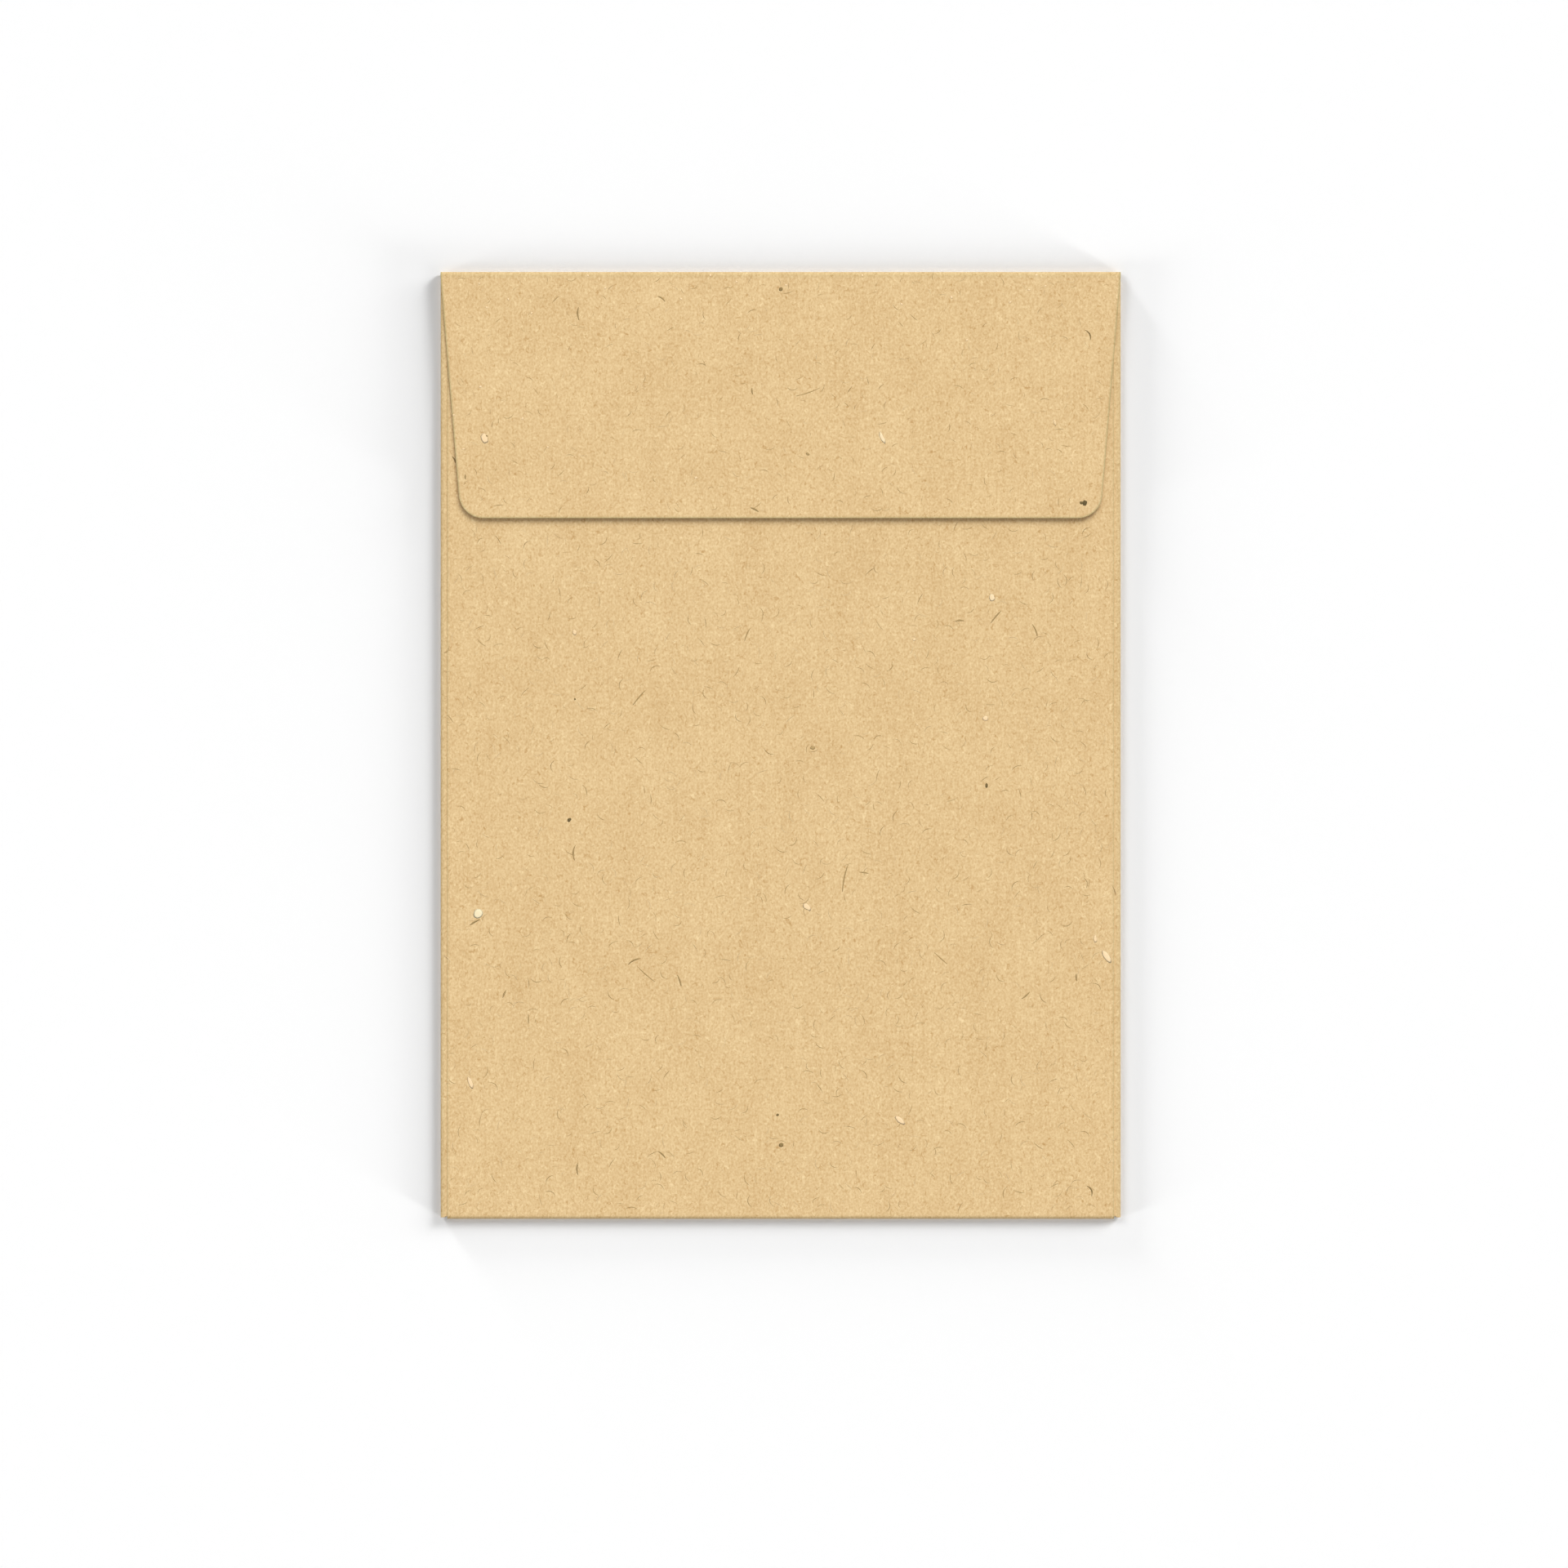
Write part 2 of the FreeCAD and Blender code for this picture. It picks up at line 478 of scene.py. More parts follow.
def makeFoldGroup():
    # node group: turns one panel up and over its fold line
    tree, start, end = startTree("foldPanel")
    newInput(tree, "Panel", "NodeSocketInt")
    newInput(tree, "Outward", "NodeSocketVector")
    for name in ("Fold Line", "Level", "Turn", "Thickness"):
        newInput(tree, name, "NodeSocketFloat")
    outward = start.outputs["Outward"]
    turn = start.outputs["Turn"]
    spot = addNode(tree, "GeometryNodeInputPosition").outputs[0]
    distance = vectorCalc(tree, "DOT_PRODUCT", spot, outward)
    along = calc(tree, "SUBTRACT", distance, start.outputs["Fold Line"])
    height = calc(tree, "SUBTRACT", start.outputs["Level"], start.outputs["Thickness"])
    radius = calc(tree, "MULTIPLY", height, 0.5)
    arc = calc(tree, "MULTIPLY", radius, turn)
    angle = calc(tree, "DIVIDE", calc(tree, "MINIMUM", along, arc), radius)
    run = calc(tree, "MAXIMUM", calc(tree, "SUBTRACT", along, arc), 0.0)
    sine = calc(tree, "SINE", angle)
    cosine = calc(tree, "COSINE", angle)
    forward = calc(tree, "ADD", calc(tree, "MULTIPLY", radius, sine), calc(tree, "MULTIPLY", run, cosine))
    lifted = calc(tree, "MULTIPLY", radius, calc(tree, "SUBTRACT", 1.0, cosine))
    rise = calc(tree, "ADD", lifted, calc(tree, "MULTIPLY", run, sine))
    shift = vectorCalc(tree, "SCALE", outward, calc(tree, "SUBTRACT", forward, along))
    lift = addNode(tree, "ShaderNodeCombineXYZ")
    feed(tree, lift.inputs["Z"], rise)
    panel = addNode(tree, "GeometryNodeInputNamedAttribute", data_type="INT")
    panel.inputs["Name"].default_value = "panel"
    chosen = addNode(tree, "FunctionNodeCompare", data_type="INT", operation="EQUAL")
    feed(tree, chosen.inputs[2], panel.outputs["Attribute"])
    feed(tree, chosen.inputs[3], start.outputs["Panel"])
    move = addNode(tree, "GeometryNodeSetPosition")
    feedAll(tree, move, {
        "Geometry": start.outputs["Geometry"],
        "Selection": chosen.outputs[0],
        "Offset": vectorCalc(tree, "ADD", shift, lift.outputs[0]),
    })
    feed(tree, end.inputs["Geometry"], move.outputs["Geometry"])
    return tree


# How the folded paper rests: it isn't quite flat, and its waves grow with the height over the table
paperRest = {"Wave Height": 0.05 * mm, "Wave Size": 26 * mm, "Wave Seed": 7.0}
waveDetail = 1.0

# Die-cut edges, taken off a little. Faces that meet at less than the smooth angle shade as one.
cutEdge = {
    "width": 0.025 * mm,
    "segments": 2,
    "leastAngle": math.radians(55),
    "smoothAngle": math.radians(40),
}


def makeFoldingTree(foldGroup):
    # node tree: folds the four panels one after another, then lets the stack wave a little
    tree, start, end = startTree("foldEnvelope")
    for name in ("Thickness", "Side Level", "Back Level", "Seal Level", "Side Fold", "Bottom Fold",
                 "Top Fold", "Seal Turn", "Wave Height", "Wave Size", "Wave Seed"):
        newInput(tree, name, "NodeSocketFloat")
    newInput(tree, "Paper", "NodeSocketMaterial")
    geometry = start.outputs["Geometry"]
    steps = [
        (rightFlap, "Side Fold", (1, 0, 0), "Side Level", math.pi),
        (leftFlap, "Side Fold", (-1, 0, 0), "Side Level", math.pi),
        (backPanel, "Bottom Fold", (0, -1, 0), "Back Level", math.pi),
        (sealFlap, "Top Fold", (0, 1, 0), "Seal Level", start.outputs["Seal Turn"]),
    ]
    for panel, line, outward, level, turn in steps:
        fold = addNode(tree, "GeometryNodeGroup", node_tree=foldGroup)
        feedAll(tree, fold, {
            "Geometry": geometry,
            "Panel": panel,
            "Fold Line": start.outputs[line],
            "Outward": outward,
            "Level": start.outputs[level],
            "Turn": turn,
            "Thickness": start.outputs["Thickness"],
        })
        geometry = fold.outputs["Geometry"]
    spot = splitVector(tree, addNode(tree, "GeometryNodeInputPosition").outputs[0])
    plan = addNode(tree, "ShaderNodeCombineXYZ")
    feedAll(tree, plan, {"X": spot["X"], "Y": spot["Y"]})
    waves = addNode(tree, "ShaderNodeTexNoise", noise_dimensions="4D")
    feedAll(tree, waves, {
        "Vector": plan.outputs[0],
        "W": start.outputs["Wave Seed"],
        "Scale": calc(tree, "DIVIDE", 1.0, start.outputs["Wave Size"]),
        "Detail": waveDetail,
    })
    height = calc(tree, "DIVIDE", spot["Z"], start.outputs["Seal Level"])
    swing = calc(tree, "MULTIPLY", calc(tree, "SUBTRACT", waves.outputs[0], 0.5), 2.0)
    wave = calc(tree, "MULTIPLY", calc(tree, "MULTIPLY", swing, height), start.outputs["Wave Height"])
    lift = addNode(tree, "ShaderNodeCombineXYZ")
    halfThickness = calc(tree, "MULTIPLY", start.outputs["Thickness"], 0.5)
    feed(tree, lift.inputs["Z"], calc(tree, "ADD", wave, halfThickness))
    settle = addNode(tree, "GeometryNodeSetPosition")
    feedAll(tree, settle, {"Geometry": geometry, "Offset": lift.outputs[0]})
    paper = addNode(tree, "GeometryNodeSetMaterial")
    feedAll(tree, paper, {"Geometry": settle.outputs["Geometry"], "Material": start.outputs["Paper"]})
    feed(tree, end.inputs["Geometry"], paper.outputs["Geometry"])
    return tree


def makeSheet(kraftPaper):
    blank = makeBlank()
    folding = blank.modifiers.new("fold", "NODES")
    folding.node_group = makeFoldingTree(makeFoldGroup())
    values = {
        "Thickness": sheet["thickness"],
        "Side Level": levels["sideFlap"],
        "Back Level": levels["backPanel"],
        "Seal Level": levels["sealFlap"],
        "Side Fold": folds["side"],
        "Bottom Fold": folds["bottom"],
        "Top Fold": folds["top"],
        "Seal Turn": sealTurn,
        "Paper": kraftPaper,
    }
    values.update(paperRest)
    setModifierInputs(folding, values)
    thicken = blank.modifiers.new("thickness", "SOLIDIFY")
    thicken.thickness = sheet["thickness"]
    thicken.offset = 0
    soften = blank.modifiers.new("cutEdges", "BEVEL")
    soften.width = cutEdge["width"]
    soften.segments = cutEdge["segments"]
    soften.limit_method = "ANGLE"
    soften.angle_limit = cutEdge["leastAngle"]
    mesh = asMesh(blank, "envelope_sheet")
    mesh.polygons.foreach_set("use_smooth", [True] * len(mesh.polygons))
    mesh.set_sharp_from_angle(angle=cutEdge["smoothAngle"])
    print("folded sheet:", len(mesh.polygons), "faces")
    return blank


def asMesh(obj, name):
    # the object's evaluated shape as its plain mesh, with its modifiers gone
    graph = bpy.context.evaluated_depsgraph_get()
    evaluated = obj.evaluated_get(graph)
    mesh = bpy.data.meshes.new_from_object(evaluated, preserve_all_data_layers=True, depsgraph=graph)
    mesh.name = name
    obj.modifiers.clear()
    obj.data = mesh
    return mesh


# Kraft paper: brown felted fibres, a little cloudy, matt. The pattern lies in the flat sheet,
# in millimetres, so it turns over with each fold and no two panels show the same patch.
kraft = {
    "pale": (0.963, 0.738, 0.411),
    "dark": (0.574, 0.346, 0.135),
    "level": 0.53,  # 0 is all dark, 1 all pale
    "roughness": 0.88,
    "shine": 0.25,
    # painted shade on cut edges and folds: its depths and its olive shadow colour
    "cutShadeDepth": 0.52,
    "paintedShadeColour": (0.290, 0.290, 0.125),
    "creaseShadeDepth": 0.15,
    "relief": 0.30,
    "reliefDepth": 0.03 * mm,
    # size of the detail in mm, how much longer it is up the sheet, and its share of the tone
    "grain": {"size": 0.42, "tall": 1.3, "share": 1.32},
    "felt": {"size": 1.1, "tall": 1.3, "share": 0.52},
    "cloud": {"size": 9.0, "tall": 1.5, "share": 0.36},
    "streak": {"size": 1.3, "tall": 14.0, "share": 0.19},
    "noiseRoughness": 0.6,
    "seedStep": 5.0,  # from one layer of noise to the next
    "hair": {
        "size": 1.5,
        "tall": 1.2,
        "thin": 0.035,
        "curl": 1.2,
        "dark": 0.36,
        "pale": 0.28,
        "patchSize": 0.7,  # as a share of the size of the hairs
        "patchStart": 0.46,  # level of the noise at which a patch begins
        "patchFull": 0.62,  # and at which it is full
        "darkSeed": 31.0,
        "paleSeed": 47.0,
        "patchSeedStep": 3.0,
    },
}


def patternNoise(tree, sheetPlan, size, tall, detail=2.0, warp=0.0, seed=0.0):
    # noise over the flat sheet, with details of this size in mm
    stretch = vectorCalc(tree, "MULTIPLY", sheetPlan, (1.0 / size, 1.0 / (size * tall), 0.0))
    noise = addNode(tree, "ShaderNodeTexNoise", noise_dimensions="4D")
    feedAll(tree, noise, {
        "Vector": stretch,
        "W": seed,
        "Scale": 1.0,
        "Detail": detail,
        "Roughness": kraft["noiseRoughness"],
        "Distortion": warp,
    })
    return noise.outputs[0]


def smoothStep(tree, value, none, full):
    # 0 where the value is at none, 1 where it is at full, and smooth between them
    step = addNode(tree, "ShaderNodeMapRange", interpolation_type="SMOOTHSTEP")
    feedAll(tree, step, {"Value": value, "From Min": none, "From Max": full})
    return step.outputs["Result"]


def hairLines(tree, sheetPlan, seed):
    # thin curly lines, 1 on a line and 0 off it, in patches
    hair = kraft["hair"]
    field = patternNoise(
        tree, sheetPlan, hair["size"], hair["tall"], detail=0.0, warp=hair["curl"], seed=seed
    )
    distance = calc(tree, "ABSOLUTE", calc(tree, "SUBTRACT", field, 0.5))
    line = smoothStep(tree, distance, hair["thin"], 0.0)
    patchSize = hair["size"] * hair["patchSize"]
    patchSeed = seed + hair["patchSeedStep"]
    patches = patternNoise(tree, sheetPlan, patchSize, 1.0, detail=0.0, seed=patchSeed)
    patch = smoothStep(tree, patches, hair["patchStart"], hair["patchFull"])
    return calc(tree, "MULTIPLY", line, patch)


def makeKraft():
    material = bpy.data.materials.new("kraftPaper")
    material.use_nodes = True
    tree = material.node_tree
    surface = tree.nodes["Principled BSDF"]
    plan = addNode(tree, "ShaderNodeUVMap", uv_map="flatSheet")
    sheetPlan = vectorCalc(tree, "SCALE", plan.outputs[0], 1.0 / mm)
    tone = None
    for step, name in enumerate(("grain", "felt", "cloud", "streak")):
        layer = kraft[name]
        seed = step * kraft["seedStep"]
        noise = patternNoise(tree, sheetPlan, layer["size"], layer["tall"], seed=seed)
        swing = calc(tree, "MULTIPLY", calc(tree, "SUBTRACT", noise, 0.5), layer["share"])
        tone = swing if tone is None else calc(tree, "ADD", tone, swing)
    hair = kraft["hair"]
    darkHairs = calc(tree, "MULTIPLY", hairLines(tree, sheetPlan, hair["darkSeed"]), -hair["dark"])
    paleHairs = calc(tree, "MULTIPLY", hairLines(tree, sheetPlan, hair["paleSeed"]), hair["pale"])
    tone = calc(tree, "ADD", tone, calc(tree, "ADD", darkHairs, paleHairs))
    # painted shade: the colour is mixed towards a dark olive along cut edges and on folds
    paintedShadeMap = splitVector(tree, addNode(tree, "ShaderNodeUVMap", uv_map="paintedEdgeShade").outputs[0])
    cutShading = calc(tree, "MULTIPLY", paintedShadeMap["X"], kraft["cutShadeDepth"])
    creaseShading = calc(tree, "MULTIPLY", paintedShadeMap["Y"], kraft["creaseShadeDepth"])
    blend = addNode(tree, "ShaderNodeMix", data_type="RGBA")
    feed(tree, blend.inputs["Factor"], calc(tree, "ADD", tone, kraft["level"]))
    blend.inputs[6].default_value = (*kraft["dark"], 1)
    blend.inputs[7].default_value = (*kraft["pale"], 1)
    paintedShadeMix = addNode(tree, "ShaderNodeMix", data_type="RGBA")
    feed(tree, paintedShadeMix.inputs["Factor"], calc(tree, "ADD", cutShading, creaseShading))
    feed(tree, paintedShadeMix.inputs[6], blend.outputs[2])
    paintedShadeMix.inputs[7].default_value = (*kraft["paintedShadeColour"], 1)
    relief = addNode(tree, "ShaderNodeBump")
    feedAll(tree, relief, {"Strength": kraft["relief"], "Distance": kraft["reliefDepth"], "Height": tone})
    feedAll(tree, surface, {
        "Base Color": paintedShadeMix.outputs[2],
        "Roughness": kraft["roughness"],
        "Specular IOR Level": kraft["shine"],
        "Normal": relief.outputs[0],
    })
    return material


# Loose fibres in the felt, scattered over both outer faces and half sunk in the paper
felt = {
    "Density": 0.10e6,
    "Seed": 4,
    "Shortest": 0.7 * mm,
    "Longest": 2.4 * mm,
    "Thickness": 0.075 * mm,
    "Margin": 1.25 * mm,  # from a fibre's middle to the sheet's outline or the flap's edges
}
fibreShape = {
    "bends": (-0.22, 0.10, 0.34),  # of the three kinds, as a share of their length
    "sides": 3,
    "pieces": 4,
    "tip": 0.1,  # where on a half wave of sine the tapered ends lie
    "flatness": 0.35,
    "tones": (0.40, 0.68),
}
fibreSeeds = {"turn": 11, "length": 12, "kind": 13, "tone": 14}

# Which faces are outer ones
outerFace = {
    "upright": 0.98,  # least share of the normal that points straight up or down
    "underBack": 0.1 * mm,  # how far under the back panel's level it may lie, as the paper waves
    "overTable": 0.02 * mm,
}


def makeFibreKinds(tree, thickness):
    # three bent, tapered fibres, one millimetre long, as instances
    profile = addNode(tree, "GeometryNodeCurvePrimitiveCircle")
    feedAll(tree, profile, {"Resolution": fibreShape["sides"], "Radius": 0.5})
    kinds = addNode(tree, "GeometryNodeJoinGeometry")
    tip = fibreShape["tip"]
    for bend in fibreShape["bends"]:
        bow = addNode(tree, "GeometryNodeCurveQuadraticBezier")
        feedAll(tree, bow, {
            "Resolution": fibreShape["pieces"],
            "Start": (-0.5 * mm, -bend / 2 * mm, 0),
            "Middle": (0, bend * mm, 0),
            "End": (0.5 * mm, -bend / 2 * mm, 0),
        })
        along = addNode(tree, "GeometryNodeSplineParameter").outputs["Factor"]
        share = calc(tree, "ADD", calc(tree, "MULTIPLY", along, 1 - 2 * tip), tip)
        turned = calc(tree, "MULTIPLY", share, math.pi)
        skin = addNode(tree, "GeometryNodeCurveToMesh")
        feedAll(tree, skin, {
            "Curve": bow.outputs["Curve"],
            "Profile Curve": profile.outputs["Curve"],
            "Scale": calc(tree, "MULTIPLY", calc(tree, "SINE", turned), thickness),
            "Fill Caps": True,
        })
        single = addNode(tree, "GeometryNodeGeometryToInstance")
        feed(tree, single.inputs[0], skin.outputs["Mesh"])
        tree.links.new(single.outputs[0], kinds.inputs[0])
    return kinds.outputs[0]


def randomValue(tree, kind, low, high, seed):
    node = addNode(tree, "FunctionNodeRandomValue", data_type=kind)
    sockets = [socket for socket in node.inputs if socket.enabled]
    feed(tree, sockets[0], low)
    feed(tree, sockets[1], high)
    feed(tree, node.inputs["Seed"], seed)
    return [socket for socket in node.outputs if socket.enabled][0]


def onOuterFace(tree, start, place):
    # 1 on the faces that look up from the back and the seal flap, and down from the front
    normal = splitVector(tree, addNode(tree, "GeometryNodeInputNormal").outputs[0])
    up = calc(tree, "GREATER_THAN", normal["Z"], outerFace["upright"])
    least = calc(tree, "SUBTRACT", start.outputs["Back Level"], outerFace["underBack"])
    high = calc(tree, "GREATER_THAN", place["Z"], least)
    down = calc(tree, "LESS_THAN", normal["Z"], -outerFace["upright"])
    low = calc(tree, "LESS_THAN", place["Z"], outerFace["overTable"])
    return calc(tree, "ADD", calc(tree, "MULTIPLY", up, high), calc(tree, "MULTIPLY", down, low))


def insideMargin(tree, start, place):
    # 1 at places that keep the margin from the sheet's outline and the seal flap's edges
    margin = start.outputs["Margin"]
    sideLimit = calc(tree, "SUBTRACT", start.outputs["Half Width"], margin)
    endLimit = calc(tree, "SUBTRACT", start.outputs["Half Height"], margin)
    fromTop = calc(tree, "SUBTRACT", start.outputs["Half Height"], place["Y"])
    beyond = calc(tree, "SUBTRACT", place["Y"], start.outputs["Free Edge"])
    onFlap = calc(tree, "GREATER_THAN", beyond, 0.0)
    slant = calc(tree, "MULTIPLY", calc(tree, "MULTIPLY", fromTop, start.outputs["Taper"]), onFlap)
    fromMiddle = calc(tree, "ADD", calc(tree, "ABSOLUTE", place["X"]), slant)
    inSides = calc(tree, "LESS_THAN", fromMiddle, sideLimit)
    inEnds = calc(tree, "LESS_THAN", calc(tree, "ABSOLUTE", place["Y"]), endLimit)
    offEdge = calc(tree, "GREATER_THAN", calc(tree, "ABSOLUTE", beyond), margin)
    return calc(tree, "MULTIPLY", calc(tree, "MULTIPLY", inSides, inEnds), offEdge)


def makeFibreTree():
    # node tree: scatters bent fibres over the outer faces and gives each a tone
    tree, start, end = startTree("scatterFibres")
    for name in ("Density", "Shortest", "Longest", "Thickness", "Margin", "Back Level",
                 "Half Width", "Half Height", "Free Edge", "Taper"):
        newInput(tree, name, "NodeSocketFloat")
    newInput(tree, "Seed", "NodeSocketInt")
    newInput(tree, "Fibre", "NodeSocketMaterial")
    place = splitVector(tree, addNode(tree, "GeometryNodeInputPosition").outputs[0])
    scatter = addNode(tree, "GeometryNodeDistributePointsOnFaces", distribute_method="RANDOM")
    feedAll(tree, scatter, {
        "Mesh": start.outputs["Geometry"],
        "Selection": onOuterFace(tree, start, place),
        "Density": start.outputs["Density"],
        "Seed": start.outputs["Seed"],
    })
    turn = addNode(tree, "ShaderNodeCombineXYZ")
    feed(tree, turn.inputs["Z"], randomValue(tree, "FLOAT", 0.0, 2 * math.pi, fibreSeeds["turn"]))
    shortest = calc(tree, "DIVIDE", start.outputs["Shortest"], mm)
    longest = calc(tree, "DIVIDE", start.outputs["Longest"], mm)
    length = randomValue(tree, "FLOAT", shortest, longest, fibreSeeds["length"])
    size = addNode(tree, "ShaderNodeCombineXYZ")
    feedAll(tree, size, {"X": length, "Y": length, "Z": fibreShape["flatness"]})
    lastKind = len(fibreShape["bends"]) - 1
    strew = addNode(tree, "GeometryNodeInstanceOnPoints")
    feedAll(tree, strew, {
        "Points": scatter.outputs["Points"],
        "Selection": insideMargin(tree, start, place),
        "Instance": makeFibreKinds(tree, start.outputs["Thickness"]),
        "Pick Instance": True,
        "Instance Index": randomValue(tree, "INT", 0, lastKind, fibreSeeds["kind"]),
        "Rotation": turn.outputs[0],
        "Scale": size.outputs[0],
    })
    tone = addNode(tree, "GeometryNodeStoreNamedAttribute", data_type="FLOAT", domain="INSTANCE")
    feedAll(tree, tone, {
        "Geometry": strew.outputs["Instances"],
        "Name": "tone",
        "Value": randomValue(tree, "FLOAT", *fibreShape["tones"], fibreSeeds["tone"]),
    })
    realize = addNode(tree, "GeometryNodeRealizeInstances")
    feed(tree, realize.inputs[0], tone.outputs["Geometry"])
    paint = addNode(tree, "GeometryNodeSetMaterial")
    feedAll(tree, paint, {"Geometry": realize.outputs[0], "Material": start.outputs["Fibre"]})
    feed(tree, end.inputs["Geometry"], paint.outputs["Geometry"])
    return tree


def makeFibres(folded, fibreMaterial):
    fibres = bpy.data.objects.new("loose_fibres", folded.data.copy())
    bpy.context.scene.collection.objects.link(fibres)
    scatter = fibres.modifiers.new("scatter", "NODES")
    scatter.node_group = makeFibreTree()
    values = dict(felt)
    values.update({
        "Back Level": levels["backPanel"],
        "Half Width": sheet["halfWidth"],
        "Half Height": sheet["halfHeight"],
        "Free Edge": freeEdge,
        "Taper": sheet["sealFlapTaper"] / (sheet["halfHeight"] - freeEdge),
        "Fibre": fibreMaterial,
    })
    setModifierInputs(scatter, values)
    mesh = asMesh(fibres, "loose_fibres")
    print("loose fibres:", len(mesh.polygons), "faces")
    return fibres


# Marks that the photograph shows one by one, placed by its pixels. Turn is in degrees against
# the clock from the right. A tone of 0 is nearly black, 0.5 brown, 1 nearly white.
photo = {"perMm": 6.262, "centreX": 955.85, "centreY": 912.7}

# Specks and pale dots
specks = [
    {"x": 956, "y": 354, "long": 5, "wide": 5, "turn": 0, "tone": 0.30},
    {"x": 1328, "y": 616, "long": 7.5, "wide": 5.8, "turn": 84, "tone": 0.06},
    {"x": 1324, "y": 616, "long": 4.5, "wide": 4, "turn": 5, "tone": 0.12},
    {"x": 697, "y": 1004, "long": 5.5, "wide": 4.5, "turn": 60, "tone": 0.10},
    {"x": 1208, "y": 962, "long": 6, "wide": 3.5, "turn": 95, "tone": 0.14},
    {"x": 956.5, "y": 1402, "long": 6, "wide": 5.5, "turn": 0, "tone": 0.28},
    {"x": 952, "y": 1365, "long": 4, "wide": 3, "turn": 20, "tone": 0.16},
    {"x": 704, "y": 856, "long": 3, "wide": 2.4, "turn": 90, "tone": 0.22},
    {"x": 989, "y": 556, "long": 5, "wide": 3, "turn": 130, "tone": 0.42},
    {"x": 995, "y": 915.5, "long": 6, "wide": 4.5, "turn": 0, "tone": 0.47},
    {"x": 596, "y": 534, "long": 2.5, "wide": 2, "turn": 0, "tone": 0.25},
    {"x": 585.5, "y": 1119, "long": 12, "wide": 11, "turn": 10, "tone": 1.0},
    {"x": 703.5, "y": 774, "long": 7, "wide": 5, "turn": 100, "tone": 0.87},
    {"x": 593.5, "y": 537, "long": 14, "wide": 8.4, "turn": 105, "tone": 0.92},
    {"x": 1214.5, "y": 731.5, "long": 9.2, "wide": 7.8, "turn": 90, "tone": 0.95},
    {"x": 1119.5, "y": 783, "long": 4.4, "wide": 3.8, "turn": 0, "tone": 0.86},
    {"x": 1206.5, "y": 879.5, "long": 7.2, "wide": 6.5, "turn": 0, "tone": 0.92},
    {"x": 1123, "y": 887, "long": 3, "wide": 2.5, "turn": 0, "tone": 0.78},
    {"x": 1004, "y": 863.5, "long": 3, "wide": 2.5, "turn": 0, "tone": 0.76},
    {"x": 760, "y": 721, "long": 3, "wide": 2.5, "turn": 0, "tone": 0.76},
    {"x": 988, "y": 1110.5, "long": 13, "wide": 6.8, "turn": -40, "tone": 0.92},
    {"x": 1291.5, "y": 517.5, "long": 8, "wide": 3.6, "turn": 100, "tone": 0.74},
    {"x": 1341, "y": 1149.5, "long": 11, "wide": 4.4, "turn": 92, "tone": 0.90},
    {"x": 1355, "y": 1171.5, "long": 19, "wide": 7.2, "turn": -55, "tone": 0.94},
    {"x": 576, "y": 1326, "long": 15, "wide": 5.4, "turn": -68, "tone": 0.92},
    {"x": 1101.5, "y": 1371, "long": 16, "wide": 7.2, "turn": -38, "tone": 0.92},
    {"x": 1080, "y": 536, "long": 15.5, "wide": 5, "turn": -65, "tone": 0.96},
]

# Tiny pale sparks, most of them near the top fold
sparks = [
    {"x": 587, "y": 347}, {"x": 622.5, "y": 366.5}, {"x": 651, "y": 383.5}, {"x": 720, "y": 337.5},
    {"x": 741, "y": 352.5}, {"x": 870, "y": 337}, {"x": 834, "y": 366}, {"x": 902, "y": 345},
    {"x": 962.5, "y": 349}, {"x": 1056, "y": 337}, {"x": 1104, "y": 372.5}, {"x": 1269, "y": 337},
    {"x": 1165, "y": 364}, {"x": 1260, "y": 355}, {"x": 1237, "y": 370}, {"x": 1184, "y": 416.5},
    {"x": 588.5, "y": 473.5}, {"x": 596, "y": 376.5}, {"x": 567.5, "y": 550}, {"x": 555, "y": 508.5},
    {"x": 671, "y": 547.5}, {"x": 852.5, "y": 585}, {"x": 640, "y": 512.5}, {"x": 1280, "y": 350},
]

